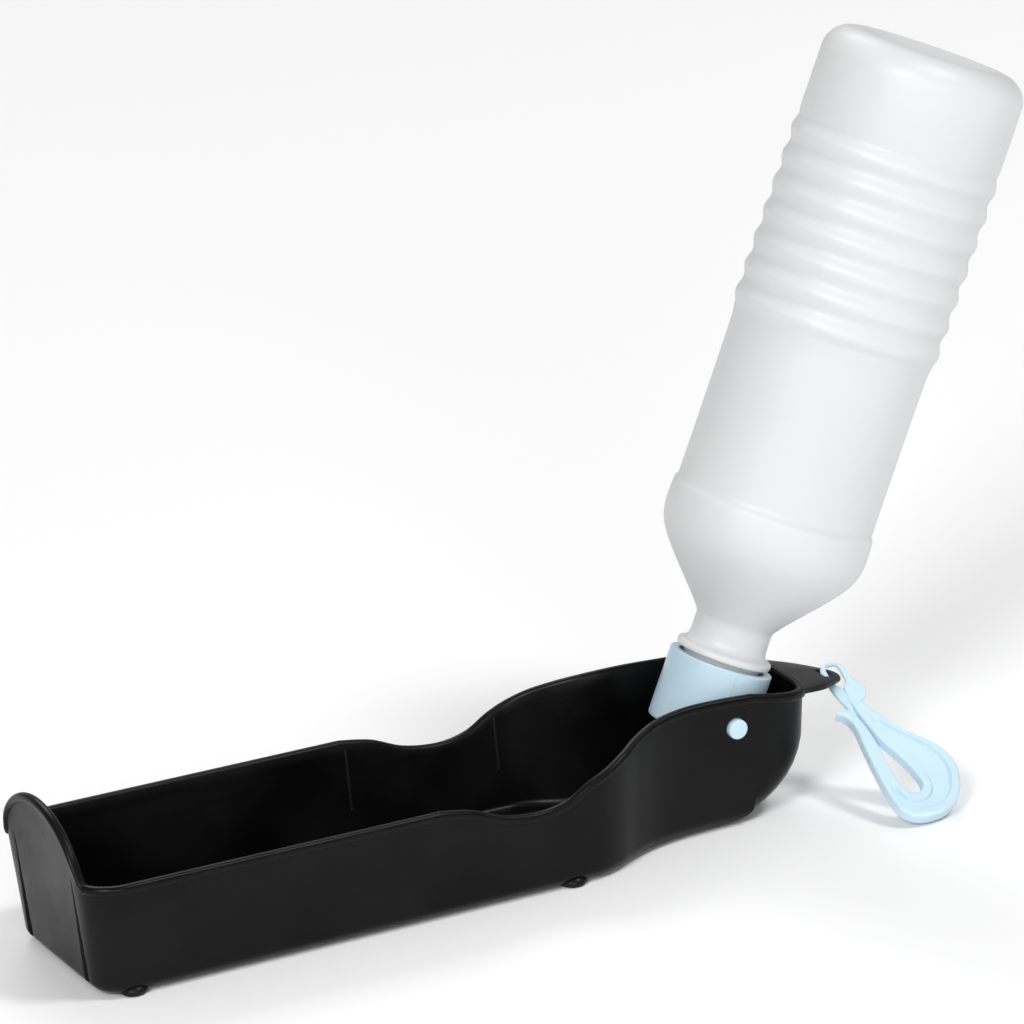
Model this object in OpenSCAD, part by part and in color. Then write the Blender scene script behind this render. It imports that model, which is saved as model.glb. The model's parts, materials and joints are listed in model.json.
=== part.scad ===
// Travel water bottle for a dog: a squeeze bottle hinged into a drinking trough.
// Unfolded and standing on a floor, as in use. Millimetres, +Z up, and +X runs
// along the trough from its end wall to its head. The trough, bottle and cap
// share the middle plane. The clip lies to the -Y side with its end on the floor.

/* [Bottle] */
// Radius of the plain part of the bottle
bottle_r = 32.5; // [30:0.5:36]
// From the hinge axis to the bottle's base
bottle_len = 222.5; // [205:0.5:240]
// Wall of the blown bottle
bottle_wall = 0.9; // [0.7:0.1:1.4]
// Number of squeeze ribs
rib_count = 7; // [4:1:8]
// Distance from one squeeze rib to the next
rib_pitch = 9.2; // [8.6:0.1:9.4]
// Height of the ribs from valley to crest
rib_depth = 1.1; // [0.6:0.1:1.6]
// Plain zone between the ribs and the base
rib_to_base = 31.5; // [28:0.5:36]
// Rounding of the base edge
base_round = 9; // [6:0.5:12]
// Radius of the neck under the screw thread
neck_r = 12.6; // [11.5:0.1:13]
// Bore of the neck
neck_bore_r = 10.9; // [9.5:0.1:11.2]
// Radius of the neck's support ring
ring_r = 15.6; // [15:0.1:16.2]
// How far the bottle leans back from upright
lean = 24.8; // [20:0.2:30]

/* [Screw cap] */
// Outer radius of the cap
cap_r = 17; // [16.6:0.1:17.6]
// From the hinge axis up to the cap's open rim
cap_top = 16.5; // [15:0.5:17]
// From the hinge axis down to the cap's closed end
cap_bottom = 7; // [6:0.25:8]
// Thickness of the cap's closed end
cap_end_t = 1.8; // [1.4:0.1:2.2]
// Thickness of the sealing washer
washer_t = 1.5; // [1:0.1:2]
// Rise of the screw thread in one turn
thread_pitch = 2.7; // [2.5:0.1:2.9]
// Radius of the hinge pins
pin_r = 3.3; // [2.8:0.1:3.8]
// Running clearance of a pin in its hole
pin_clear = 0.05; // [0.03:0.01:0.08]
// Width of the raised pad that carries a pin
pad_w = 14; // [12:0.5:17]
// From the hinge axis up to the top of the pad
pad_top = 6; // [4:0.5:10]

/* [Spout] */
// Radius of the spout tube
spout_r = 4.8; // [4.4:0.1:5.2]
// Length of the spout tube
spout_len = 7.1; // [6.5:0.1:9]
// Travel of the push-pull valve
valve_travel = 3.3; // [2.5:0.1:3.4]
// Radius of the valve's outlet
outlet_r = 2.4; // [2:0.1:2.8]

/* [Trough] */
// Height of the side walls
side_h = 37.6; // [35:0.2:41]
// Fall of the rim from the end wall to the finger dip
rim_fall = 1; // [0:0.2:2]
// Wall thickness
wall = 2; // [1.6:0.1:2.4]
// Floor thickness
floor_t = 2; // [1.6:0.1:2.4]
// Height of the floor's underside above the feet
foot_h = 1.2; // [0.8:0.1:2]
// Draft angle of the walls
draft = 5; // [3:0.5:6]
// Room between the bottle and a side wall, at the rim
side_room = 5; // [4:0.5:7]
// Room between the folded bottle's base and the end wall
end_room = 6.3; // [5.5:0.1:9]
// Height of the arched end wall above the side walls
arch_h = 19; // [14:0.2:24]
// Depth of the finger dip in the rim
dip_depth = 8.2; // [4:0.2:9]
// Rise of the rim from the side walls to the head
head_rise = 9; // [8:0.5:12]
// Radius of the upright corners at the end wall
corner_r = 13; // [10:0.5:14]
// Distance from the hinge axis to the back of the head
head_back = 30; // [27:0.5:34]
// Rounding under the back of the head
belly_r = 30; // [26:1:31]
// Thickness of the clip tab
tab_t = 1.8; // [1.6:0.1:2.4]
// Distance from the hinge axis to the tip of the tab
tab_reach = 48.6; // [46:0.2:52]

/* [Belt clip] */
// Thickness of the clip's hook
clip_t = 4.2; // [3.4:0.1:5]
// Thickness of the clip's eye
eye_t = 1.5; // [1.3:0.1:1.6]
// Thickness of the thin web inside the hook
web_t = 1.8; // [1.2:0.1:2.4]
// How far the clip leans to the side, from hanging straight down
clip_lean = 57.5; // [57:0.1:58]

/* [Hidden] */

black = [0.07, 0.07, 0.075];
milky = [0.88, 0.89, 0.9, 0.7];
light_blue = [0.6, 0.77, 0.9];
pale_grey = [0.8, 0.8, 0.78];

fit_gap = 0.3;
round_fn = 96;

// ---- places along the trough ----
half_w = bottle_r + side_room;
pad_room = 3.3;
fold_gap = 1.1;
fold_tilt = 2.8;
shoulder_r = bottle_r + 1.1;
shoulder_at = 60;
head_w = cap_r + pad_room + wall;
lean_in = tan(draft);
arch_lean = 0.02;
pivot_x = bottle_len + end_room + wall;
pivot_z = foot_h + floor_t + fold_gap + shoulder_r * cos(fold_tilt) - shoulder_at * sin(fold_tilt);
rim_head_z = side_h + head_rise;
tab_slope = 11.8;
back_x = pivot_x + head_back;
bend_x = pivot_x + 6;
bend_z = rim_head_z - 1.3;

// ---- places along the bottle, from the hinge axis towards its base ----
mouth_at = washer_t + cap_end_t - cap_bottom;
ring_at = cap_top + 1.3;
ring_t = 2.6;
waist_r = neck_r + 0.1;
ribs_at = bottle_len - rib_to_base - rib_count * rib_pitch;
rib_mean_r = bottle_r + 1.1;
rib_end_r = bottle_r + 0.9;

// ---- the clip hangs on the bar at the tip of the tab ----
bar_w = 2.6;
slot_w = 7.6;
slot_len = 4.1;
hook_shift = [-1.1, 1.1];
clip_x = pivot_x + tab_reach - bar_w / 2 - 0.2;
clip_z = bend_z - (clip_x - bend_x) * tan(tab_slope) - tab_t / 2 + 0.3;

// ---- centre of the bounding box ----
base_r = rib_end_r - base_round;
box_hi_x = pivot_x + (bottle_len - base_round) * sin(lean) + base_r * cos(lean) + base_round;
bead_out = 1.15;
bead_drop = 1.7;
box_lo_x = -(rim_fall + arch_h - bead_drop) * arch_lean - bead_out;
clip_reach = 62 + hook_shift[1];
box_lo_y = -clip_reach * sin(clip_lean) - clip_t / 2 * cos(clip_lean);
box_hi_y = half_w + bead_out - max(0, bead_drop - rim_fall) * lean_in;
mid_x = (box_lo_x + box_hi_x) / 2;
mid_y = (box_lo_y + box_hi_y) / 2;

// Puts a piece into the shared frame, with the origin under the middle of the whole.
module in_frame() {
    translate([-mid_x, -mid_y, 0]) children();
}

// Puts a piece that is drawn along the bottle's axis, upright, onto the hinge axis.
module on_hinge() {
    in_frame() translate([pivot_x, 0, pivot_z]) rotate([0, lean, 0]) children();
}

// A smooth curve through points: the Catmull-Rom rule, with steps points a stretch.
function blend(a, b, c, d, t) =
    0.5 * (2 * b + (c - a) * t + (2 * a - 5 * b + 4 * c - d) * t * t
    + (3 * b - a - 3 * c + d) * t * t * t);
function smooth(p, steps) = [
    for (i = [0 : len(p) - 2], k = [0 : steps - 1])
        blend(p[max(i - 1, 0)], p[i], p[i + 1], p[min(i + 2, len(p) - 1)], k / steps),
    p[len(p) - 1]
];

// ---- trough ----
// The rim beyond the straight side walls: distance from the hinge axis along X,
// share of the narrowing to the head, share of the dip, and share of the head's rise.
rim_path = [
    [-112, 0, 0, 0],
    [-101, 0, 0.26, 0],
    [-90, 0, 0.8, 0],
    [-78, 0, 1, 0],
    [-68, 0, 0.8, 0],
    [-60, 0.02, 0.27, 0.01],
    [-53, 0.06, 0, 0.1],
    [-46, 0.23, 0, 0.42],
    [-38, 0.54, 0, 0.72],
    [-29, 0.8, 0, 0.92],
    [-18, 0.94, 0, 1],
    [-6, 0.99, 0, 0.96],
    [6, 1, 0, 0.87]
];
rim_steps = 2;
side_steps = 8;
end_steps = 8;
corner_steps = 6;
back_steps = 12;

end_flat = half_w - corner_r;
side_end_x = pivot_x + rim_path[0][0];

// Height of the arch above the side walls, at distance y from the middle.
arch_soft = 3;
arch_half = 29.2;
arch_tall = sqrt(pow(arch_h + arch_soft, 2) - pow(arch_soft, 2));
function arch(y) =
    sqrt(pow(arch_tall, 2) * max(0, 1 - pow(y / arch_half, 2)) + pow(arch_soft, 2)) - arch_soft;

// Each station of the near half: x, half width and height of the rim, then the same
// three for the edge where the floor's underside begins, then the edge's rounding.
edge_r = 4;
belly_shift = 18;
belly_pow = 0.5;
head_edge_r = 6.5;
function at_rim(x, w, z, r, under, shift) = [x, w, z, r, under, shift];
end_stations = [
    for (i = [0 : end_steps - 1])
        let (y = end_flat * i / end_steps)
            at_rim(0, y, side_h + rim_fall + arch(y), edge_r, foot_h, 0)
];
corner_stations = [
    for (i = [0 : corner_steps])
        let (a = 90 * i / corner_steps, y = end_flat + corner_r * sin(a))
            at_rim(corner_r * (1 - cos(a)), y, side_h + rim_fall + arch(y), edge_r, foot_h, 0)
];
side_stations = [
    for (i = [1 : side_steps - 1])
        at_rim(corner_r + (side_end_x - corner_r) * i / side_steps, half_w,
               side_h + rim_fall * (1 - i / side_steps), edge_r, foot_h, 0)
];
path_stations = [
    for (p = smooth(rim_path, rim_steps))
        at_rim(pivot_x + p[0],
               half_w + (head_w - half_w) * p[1],
               side_h - dip_depth * p[2] + head_rise * p[3],
               edge_r + (head_edge_r - edge_r) * p[1],
               foot_h * (1 - p[1]),
               belly_shift * pow(max(0, (p[0] + 30) / 36), 2))
];
back_a = back_x - bend_x;
back_square = 0.64;
function back_plan(a, inset) =
    [(back_a - inset) * pow(sin(a), back_square), (head_w - inset) * pow(cos(a), back_square)];
back_stations = [
    for (i = [1 : back_steps])
        let (a = 90 * i / back_steps, p = back_plan(a, 0))
            at_rim(bend_x + p[0], p[1], bend_z - p[0] * tan(tab_slope),
                   head_edge_r + (belly_r - head_edge_r) * pow(p[0] / back_a, belly_pow), 0, belly_shift)
];
half_stations = concat(end_stations, corner_stations, side_stations, path_stations, back_stations);
half_n = len(half_stations);
ring_n = 2 * half_n - 2;
back_from = half_n - back_steps - 1;

// Outward direction of the rim's plan at each station.
function unit(v) = v / norm(v);
function plan(i) = [half_stations[i][0], half_stations[i][1]];
function plan_out(i) =
    i == 0 ? [-1, 0] :
    i == half_n - 1 ? [1, 0] :
    let (t = unit(plan(i + 1) - plan(i - 1))) [-t[1], t[0]];
outward = [for (i = [0 : half_n - 1]) plan_out(i)];

// The floor's outline in plan. Under the back of the head it is a half ellipse of its own.
function wall_in(i, z) = (side_h - z) * (z > side_h ? arch_lean : lean_in);
function floor_plan(i) =
    let (s = half_stations[i], d = wall_in(i, s[4]) + s[3])
        i < back_from ? plan(i) - outward[i] * d - [s[5], 0] :
        let (a = 90 * (i - back_from) / back_steps, e = half_stations[back_from])
            [bend_x - belly_shift + (back_a - wall_in(i, 0) - belly_r + belly_shift) * sin(a),
             (head_w - wall_in(i, 0) - e[3]) * cos(a)];
floor_at = [for (i = [0 : half_n - 1]) floor_plan(i)];

// Points of one station: on the wall at height z, and on its rounded lower edge. The
// distance off is measured outwards from the wall's outer face.
function level(q, i, z) = [q[0], i == 0 || i == half_n - 1 ? 0 : q[1], z];
function wall_point(i, off, z) = level(plan(i) + outward[i] * (off - wall_in(i, z)), i, z);
function edge_point(i, off, a) =
    let (s = half_stations[i], top = plan(i) + outward[i] * (off - wall_in(i, s[4] + s[3])))
        level(top + (floor_at[i] - top) * (1 - cos(a)), i, s[4] + s[3] - (s[3] + off) * sin(a));
function mirror_y(p) = [p[0], -p[1], p[2]];
function closed(half) = concat(
    [for (p = half) mirror_y(p)],
    [for (i = [half_n - 2 : -1 : 1]) half[i]]
);
turn_steps = 5;
outer_rings = [
    for (k = [turn_steps : -1 : 0])
        closed([for (i = [0 : half_n - 1]) edge_point(i, 0, 90 * k / turn_steps)])
];
// The rim's rounded bead: distance outside the wall, and height below the rim.
bead = [[0, -3.2], [0.85, -2.7], [bead_out, -bead_drop], [0.9, -0.7], [0.2, -0.1],
        [-0.8, 0], [-1.6, -0.35], [-2, -1.1]];
bead_rings = [
    for (b = bead)
        closed([for (i = [0 : half_n - 1])
            wall_point(i, b[0] < 0 ? b[0] * wall / 2 : b[0], half_stations[i][2] + b[1])])
];
inner_rings = [
    for (k = [0 : turn_steps])
        closed([for (i = [0 : half_n - 1]) edge_point(i, -wall, 90 * k / turn_steps)])
];
shell_rings = concat(outer_rings, bead_rings, inner_rings);
ring_total = len(shell_rings);
shell_points = [for (r = shell_rings, p = r) p];
function at(r, i) = r * ring_n + (i + ring_n) % ring_n;
shell_sides = [
    for (r = [0 : ring_total - 2], i = [0 : ring_n - 1], side = [0, 1])
        side == 0 ? [at(r, i), at(r + 1, i), at(r + 1, i + 1)]
                  : [at(r, i), at(r + 1, i + 1), at(r, i + 1)]
];
// The floor's faces run straight across, from each station to its mirror image. The
// first one takes in the whole straight end.
first = end_steps + 1;
function across(r) = concat(
    [[for (i = [first : -1 : -first]) at(r, i)]],
    [for (i = [first : half_n - 3]) [at(r, i), at(r, -i), at(r, -i - 1), at(r, i + 1)]],
    [[at(r, half_n - 2), at(r, -half_n + 2), at(r, half_n - 1)]]
);
function turned(face) = [for (i = [len(face) - 1 : -1 : 0]) face[i]];
basin_faces = across(ring_total - 1);
floor_faces = [for (f = across(0)) turned(f)];

module trough_shell() {
    polyhedron(points = shell_points, faces = concat(floor_faces, shell_sides, basin_faces), convexity = 8);
}

// The flat tab behind the head, on the slope of the head's rim, with the clip's slot.
tab_outline = smooth([
    [bend_x, head_w - 0.6],
    [pivot_x + 14, 21.2],
    [pivot_x + 20, 20.3],
    [pivot_x + 26, 17.6],
    [pivot_x + tab_reach - 18.6, 15.4],
    [pivot_x + tab_reach - 14.6, 13.8],
    [pivot_x + tab_reach - 10.6, 11.8],
    [pivot_x + tab_reach - 6.6, 8.8],
    [pivot_x + tab_reach - 3.1, 5.6],
    [pivot_x + tab_reach - 1, 3.4],
    [pivot_x + tab_reach, 0]
], 4);
module tab() {
    slope_len = 1 / cos(tab_slope);
    slot_end = (clip_x - bar_w / 2 - bend_x) * slope_len;
    translate([bend_x, 0, bend_z - 0.2]) rotate([0, tab_slope, 0]) translate([0, 0, -tab_t])
        difference() {
            linear_extrude(tab_t) polygon([
                for (p = tab_outline) [(p[0] - bend_x) * slope_len, -p[1]],
                for (i = [len(tab_outline) - 2 : -1 : 0])
                    [(tab_outline[i][0] - bend_x) * slope_len, tab_outline[i][1]]
            ]);
            translate([0, 0, -1]) linear_extrude(tab_t + 2) polygon([
                for (i = [-10 : 10])
                    let (p = back_plan(90 - abs(9 * i), wall / 2))
                        [p[0] * slope_len - 0.5, sign(i) * p[1]]
            ]);
            translate([slot_end - slot_len, -slot_w / 2, -1]) cube([slot_len, slot_w, tab_t + 2]);
        }
}

foot_r = 4.5;
foot_y = half_w - side_h * lean_in - edge_r + 0.4;
foot_top = foot_h + floor_t - 0.3;
module feet() {
    for (x = [14.6, pivot_x - 65], y = [-1, 1])
        translate([x, y * foot_y, 0]) rotate_extrude($fn = 48) polygon([
            [0, 0], [foot_r - 1.2, 0], [foot_r - 0.4, 0.4], [foot_r, 1.2],
            [foot_r - 0.1, foot_top - 1.2], [foot_r - 1, foot_top], [0, foot_top]
        ]);
}

// Two shallow grooves frame the flat panel of the end wall. They widen downwards.
groove_y = 22.3;
groove_deep = 0.9;
module end_grooves() {
    for (s = [-1, 1])
        translate([side_h * lean_in, s * groove_y, 0]) rotate([0, -draft, 0])
            translate([groove_deep, 0, 0]) rotate([0, -90, 0])
                linear_extrude(12) polygon([[-2, -2.2], [-2, 2.2], [side_h + 5, 0]]);
}

module pin_holes() {
    translate([pivot_x, 0, pivot_z]) rotate([90, 0, 0])
        cylinder(h = 3 * head_w, r = pin_r + pin_clear, center = true, $fn = round_fn);
}

module trough() {
    color(black) in_frame() difference() {
        union() {
            trough_shell();
            feet();
            tab();
        }
        end_grooves();
        pin_holes();
    }
}

// ---- screw threads: one ridge, wound right-handed on a tube ----
thread_turns = 0.75;
ridge_w = 1.6;
ridge_steps = 24;
// Ridge from radius r0 (inside the tube's wall) to crest r1, with its start at height z.
module ridge(r0, r1, z) {
    n = ridge_steps * thread_turns;
    pts = [
        for (k = [0 : n])
            let (a = 360 * k / ridge_steps, h = z + thread_pitch * k / ridge_steps,
                 e = min(1, 0.15 + min(k, n - k) / 3), rc = r0 + (r1 - r0) * e)
                for (q = [[r0, -ridge_w / 2], [rc, -ridge_w / 4], [rc, ridge_w / 4], [r0, ridge_w / 2]])
                    [q[0] * cos(a), q[0] * sin(a), h + q[1]]
    ];
    flip = r1 < r0;
    strips = [
        for (k = [0 : n - 1], j = [0 : 3], half = [0, 1])
            let (a = 4 * k + j, b = 4 * k + (j + 1) % 4, c = a + 4, d = b + 4)
                half == 0 ? [a, b, d] : [a, d, c]
    ];
    ends = [[3, 2, 1], [3, 1, 0], [4 * n, 4 * n + 1, 4 * n + 2], [4 * n, 4 * n + 2, 4 * n + 3]];
    all_faces = concat(strips, ends);
    polyhedron(points = pts, convexity = 6,
        faces = flip ? [for (f = all_faces) [f[2], f[1], f[0]]] : all_faces);
}

// ---- screw cap ----
thread_root_r = neck_r + 1.6;
thread_z = cap_top - 13;
spout_at = -cap_bottom - spout_len;
spout_bore_r = spout_r - 1;
spout_bead_r = spout_r + 0.7;
pad_face = head_w - wall - 1.5;
pin_end = head_w + 1.1;
post_r = outlet_r - fit_gap;
module cap_body() {
    rotate_extrude($fn = round_fn) polygon([
        [spout_bore_r, spout_at], [spout_bead_r - 0.4, spout_at],
        [spout_bead_r, spout_at + 0.4], [spout_bead_r, spout_at + 1.2], [spout_r, spout_at + 1.9],
        [spout_r, -cap_bottom], [cap_r - 0.8, -cap_bottom], [cap_r, -cap_bottom + 0.8],
        [cap_r, cap_top - 0.5], [cap_r - 0.5, cap_top], [thread_root_r + 0.4, cap_top],
        [thread_root_r, cap_top - 0.8], [thread_root_r, -cap_bottom + cap_end_t],
        [spout_bore_r, -cap_bottom + cap_end_t]
    ]);
}
module cap_pads() {
    difference() {
        intersection() {
            translate([-pad_w / 2, -pad_face, -cap_bottom + 0.8])
                cube([pad_w, 2 * pad_face, pad_top + cap_bottom - 0.8]);
            translate([0, 0, -cap_bottom]) cylinder(h = 30, r = pad_face + 1.2, $fn = round_fn);
        }
        translate([0, 0, -cap_bottom - 1]) cylinder(h = 40, r = thread_root_r + 1, $fn = round_fn);
    }
}
module cap_pins() {
    for (s = [-1, 1])
        rotate([s * 90, 0, 0]) {
            translate([0, 0, thread_root_r + 1])
                cylinder(h = pin_end - thread_root_r - 1.5, r = pin_r, $fn = round_fn);
            translate([0, 0, pin_end - 0.5])
                cylinder(h = 0.5, r1 = pin_r, r2 = pin_r - 0.5, $fn = round_fn);
        }
}
module spout_post() {
    post_top = -cap_bottom + cap_end_t / 2;
    translate([0, 0, spout_at - 2]) cylinder(h = post_top - spout_at + 2, r = post_r, $fn = 48);
    for (a = [0, 120, 240])
        rotate([0, 0, a]) translate([0, -0.4, spout_at + 0.6])
            cube([spout_bore_r + 0.3, 0.8, post_top - spout_at - 0.6]);
}
module screw_cap() {
    color(light_blue) on_hinge() {
        union() {
            cap_body();
            cap_pads();
            cap_pins();
            spout_post();
            ridge(thread_root_r + 0.5, neck_r + 0.5, thread_z + thread_pitch / 2);
        }
    }
}

// ---- sealing washer, between the bottle's mouth and the cap's closed end ----
washer_bore_r = 5.5;
module sealing_washer() {
    color(pale_grey) on_hinge() translate([0, 0, cap_end_t - cap_bottom])
        difference() {
            cylinder(h = washer_t, r = neck_r - fit_gap, $fn = round_fn);
            translate([0, 0, -1]) cylinder(h = washer_t + 2, r = washer_bore_r, $fn = round_fn);
        }
}

// ---- bottle ----
// Shoulder: distance from the hinge axis, and radius as a share from waist to shoulder.
shoulder = [[27, 0], [29.5, 0.005], [32, 0.085], [35, 0.205], [40, 0.42], [45, 0.63],
            [50, 0.82], [54, 0.93], [58, 0.985], [63, 1], [68.4, 0.985]];
shoulder_end = ring_at + 51.6;
shoulder_curve = [
    for (p = smooth(shoulder, 3)) [waist_r + (shoulder_r - waist_r) * p[1], p[0] + ring_at - 17.8]
];
rib_steps = 8;
rib_curve = [
    for (k = [0 : rib_steps * rib_count])
        [rib_mean_r - rib_depth / 2 * cos(360 * k / rib_steps), ribs_at + rib_pitch * k / rib_steps]
];
base_curve = [
    for (k = [0 : 8])
        let (a = 90 * k / 8) [base_r + base_round * cos(a), bottle_len - base_round + base_round * sin(a)]
];
push_up = 3;
ring_edge = 0.7;
outer_line = concat(
    [[neck_r - 0.4, mouth_at], [neck_r, mouth_at + 0.5], [neck_r, ring_at],
     [ring_r - ring_edge, ring_at], [ring_r, ring_at + ring_edge],
     [ring_r, ring_at + ring_t - ring_edge], [ring_r - ring_edge, ring_at + ring_t],
     [waist_r + 1, ring_at + ring_t + 0.4], [waist_r + 0.3, ring_at + ring_t + 1.5],
     [waist_r, ring_at + ring_t + 3]],
    shoulder_curve,
    [[bottle_r, shoulder_end], [bottle_r, ribs_at - 3]],
    rib_curve,
    [[rib_end_r, bottle_len - rib_to_base + 1.5]],
    base_curve,
    [[base_r - 2.5, bottle_len - 0.6], [base_r / 2, bottle_len - push_up], [0, bottle_len - push_up]]
);
base_t = 1.2;
inner_line = concat(
    [[neck_bore_r, mouth_at], [neck_bore_r, ring_at + ring_t]],
    [for (p = shoulder_curve) [p[0] - bottle_wall - (waist_r - neck_bore_r - bottle_wall) * exp(-(p[1] - 27) / 3), p[1]]],
    [[bottle_r - bottle_wall, shoulder_end], [bottle_r - bottle_wall, ribs_at - 3]],
    [for (p = rib_curve) [p[0] - bottle_wall, p[1]]],
    [[rib_end_r - bottle_wall, bottle_len - rib_to_base + 1.5]],
    [for (p = base_curve) [p[0] - bottle_wall * (p[0] - base_r) / base_round, p[1] - base_t * (p[1] - bottle_len + base_round) / base_round]],
    [[base_r - 2.5, bottle_len - 0.6 - base_t], [base_r / 2, bottle_len - push_up - base_t],
     [0, bottle_len - push_up - base_t]]
);
module bottle() {
    color(milky) on_hinge() union() {
        rotate_extrude($fn = round_fn) polygon(concat(
            outer_line, [for (i = [len(inner_line) - 1 : -1 : 0]) inner_line[i]]
        ));
        ridge(neck_r - 0.5, neck_r + 1.2, thread_z);
    }
}

// ---- push-pull valve on the spout ----
valve_bore_r = spout_bead_r + fit_gap;
valve_lip_r = spout_r + fit_gap;
valve_r = valve_bore_r + 1.4;
valve_top = -cap_bottom - 0.8;
valve_end = spout_at - 2.4;
module spout_valve() {
    color(pale_grey) on_hinge() rotate_extrude($fn = round_fn) polygon([
        [outlet_r, valve_end], [valve_r - 1.2, valve_end], [valve_r - 0.4, valve_end + 0.8],
        [valve_r - 0.4, valve_top - 2], [valve_r, valve_top - 1.6], [valve_r, valve_top - 0.3],
        [valve_r - 0.3, valve_top], [valve_lip_r, valve_top], [valve_lip_r, valve_top - 1],
        [valve_bore_r, valve_top - 1.6], [valve_bore_r, valve_end + 1.4], [outlet_r, valve_end + 1.4]
    ]);
}

// ---- belt clip: a sprung hook with a slit eye, drawn flat ----
// x runs along the row's X from the bar, and y runs from the bar down to the hook.
hook_outline = smooth([
    [-0.9, 13.2], [0.2, 16], [-1.6, 14.9], [-5.4, 14.9], [-7.2, 13.6], [-7.2, 14.6], [-6.6, 15.8],
    [-4.4, 17.2], [-3.2, 20], [-3, 24], [-3.6, 30], [-4.2, 38], [-4.5, 47], [-4.1, 54],
    [-2.4, 58.6], [1.4, 61.4], [6.2, 62], [12, 60.9], [17.4, 57.4], [21.2, 51.2], [22.8, 44.6],
    [21.4, 38], [17.2, 32.2], [12.2, 27], [8, 20.8], [5.2, 15]
], 3);
window_outline = smooth([
    [0.6, 22.5], [1.2, 26.4], [1.3, 32], [1, 40], [1, 47.6], [2.4, 50.9], [5.2, 51.6], [7.8, 50.2],
    [8.4, 47.2], [7.4, 41.6], [5, 34.8], [2.8, 29.4], [1.4, 23]
], 3);
slit_outline = [[-1.5, 12.5], [-0.3, 16], [0.9, 23], [1.5, 23], [0.4, 16], [-0.7, 12.5]];
eye_foot = 6;
eye_outline = smooth([
    [-0.8, 14.8], [-2.4, 13.2], [-3.6, 10], [-4.3, 5.4], [-4.4, 0], [-3.9, -2.7], [-1.6, -4.3],
    [1.6, -4.2], [3.9, -2.7], [4.5, 1], [5.8, 4.9], [7.4, 8.5], [6.2, 11.1], [3.8, 13], [3.3, 17.2],
    [0.4, 17.4]
], 3);
eye_hole = smooth([
    [-0.3, eye_foot], [-1.5, 5], [-2.1, 3.4], [-2.2, 0], [-2.1, -1.8], [-1.4, -3.1], [1.4, -3],
    [2.2, -1.8], [2.3, 0.6], [2.2, 3.4], [1.6, 5], [0.6, eye_foot]
], 3);

module belt_clip() {
    color(light_blue) in_frame() translate([clip_x, 0, clip_z])
        rotate([-90 - clip_lean, 0, 0]) clip_flat();
}
module clip_flat() {
    translate([hook_shift[0], hook_shift[1], -clip_t / 2]) difference() {
        linear_extrude(clip_t) difference() {
            polygon(hook_outline);
            polygon(window_outline);
            polygon(slit_outline);
        }
        for (z = [-1, (clip_t + web_t) / 2])
            translate([0, 0, z]) linear_extrude((clip_t - web_t) / 2 + 1) web_area();
    }
    translate([0, 0, -eye_t / 2]) linear_extrude(eye_t) difference() {
        polygon(eye_outline);
        polygon(eye_hole);
    }
}
// The thin web lies between the hook's outer rib and the rib round its window.
rib_w = 2.9;
module web_area() {
    difference() {
        offset(delta = -rib_w) polygon(hook_outline);
        offset(delta = rib_w + 0.2) polygon(window_outline);
        translate([-12, 10]) square([11, 45]);
        translate([-12, 0]) square([30, 26]);
    }
}

trough();
screw_cap();
sealing_washer();
bottle();
spout_valve();
belt_clip();
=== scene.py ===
import json
import math

import bmesh
import bpy
import numpy as np
from mathutils import Matrix


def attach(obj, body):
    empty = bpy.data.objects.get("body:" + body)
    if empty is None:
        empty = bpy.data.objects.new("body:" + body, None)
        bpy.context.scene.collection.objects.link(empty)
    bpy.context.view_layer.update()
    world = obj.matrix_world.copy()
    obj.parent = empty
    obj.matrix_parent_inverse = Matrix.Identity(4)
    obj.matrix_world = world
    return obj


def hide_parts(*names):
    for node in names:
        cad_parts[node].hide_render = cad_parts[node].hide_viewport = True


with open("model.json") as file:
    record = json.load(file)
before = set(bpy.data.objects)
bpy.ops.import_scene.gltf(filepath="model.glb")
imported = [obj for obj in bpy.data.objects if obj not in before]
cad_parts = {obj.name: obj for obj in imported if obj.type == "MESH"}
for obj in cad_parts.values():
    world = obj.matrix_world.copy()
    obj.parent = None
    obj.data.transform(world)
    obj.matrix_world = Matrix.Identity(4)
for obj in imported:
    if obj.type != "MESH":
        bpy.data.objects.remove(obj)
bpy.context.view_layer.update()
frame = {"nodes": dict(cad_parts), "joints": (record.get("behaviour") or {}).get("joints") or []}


# ---------------------------------------------------------------- trough
# The drinking trough is one black polypropylene moulding. Its drafted walls end in a rolled
# rim, one end stands up in an arch, and the other narrows to the head that carries the cap.
# The sizes here are millimetres: x from the end wall, y from the middle, z from the floor.
side_height = 37.6
rim_fall = 1.0
head_rise = 9.0
dip_depth = 8.2
half_width = 37.5
head_half = 22.3
wall = 2.0
foot_height = 1.2
corner_round = 13.0
edge_round = 4.0
head_edge = 6.5
belly_round = 30.0
belly_shift = 18.0
belly_power = 0.5
belly_from = 30.0
draft = math.tan(math.radians(5))
arch_lean = 0.02
arch_height = 19.0
arch_half = 29.2
arch_soft = 3.0
hinge_at = 230.8
bend_at = hinge_at + 6
bend_height = side_height + head_rise - 1.3
back_reach = 24.0
back_square = 0.64
tab_slope = math.radians(11.8)
tab_thick = 1.8

hinge = next(j for j in frame["joints"] if j["name"] == "bottle_fold")["pos_m"]


def placed(points):
    """Trough millimetres to metres: x is moved so that the hinge falls on the hinge's own place."""
    return (np.asarray(points, float) + [-hinge_at, 0, 0]) / 1000 + [hinge[0], hinge[1], 0]


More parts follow.
